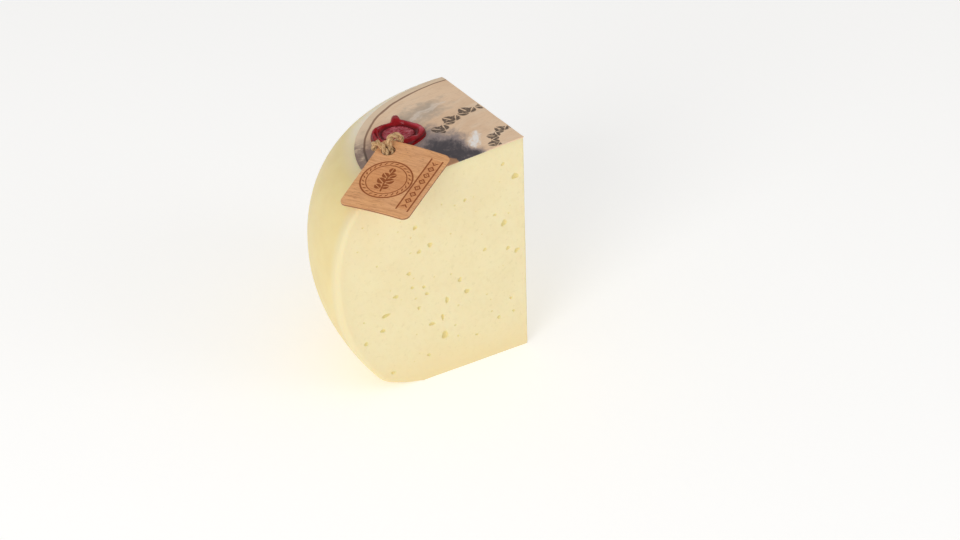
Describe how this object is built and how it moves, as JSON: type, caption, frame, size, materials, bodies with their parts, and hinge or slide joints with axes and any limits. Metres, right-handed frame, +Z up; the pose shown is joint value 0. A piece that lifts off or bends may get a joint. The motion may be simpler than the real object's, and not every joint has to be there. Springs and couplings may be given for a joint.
{
  "type": "pecorino cheese wedge",
  "caption": "Standing quarter of a pecorino wheel with a round paper label cut with it, a wax seal, a twine tie and a thin wooden tag.",
  "frame": {"origin": "middle of the bounding box on the ground, under the wedge", "axes": "+Z up; the front cut faces -Y and runs from the wheel's axis towards -X; the second cut faces almost +X; the rind faces -X and +Y"},
  "size_m": [0.1154, 0.1296, 0.1251],
  "materials": {
    "cheese": "pale cream paste with small eyes, smooth straw-yellow rind",
    "label": "printed kraft-toned paper, satin",
    "wax_seal": "glossy crimson sealing wax with a rosy pressed field",
    "twine": "beige twisted jute, matt",
    "wood_tag": "thin beech with a branded ring and lines, unvarnished"
  },
  "bodies": {
    "root": {"cheese": "cheese", "label": "label", "wax_seal": "wax_seal", "twine": "twine", "wood_tag": "wood_tag"}
  },
  "joints": []
}
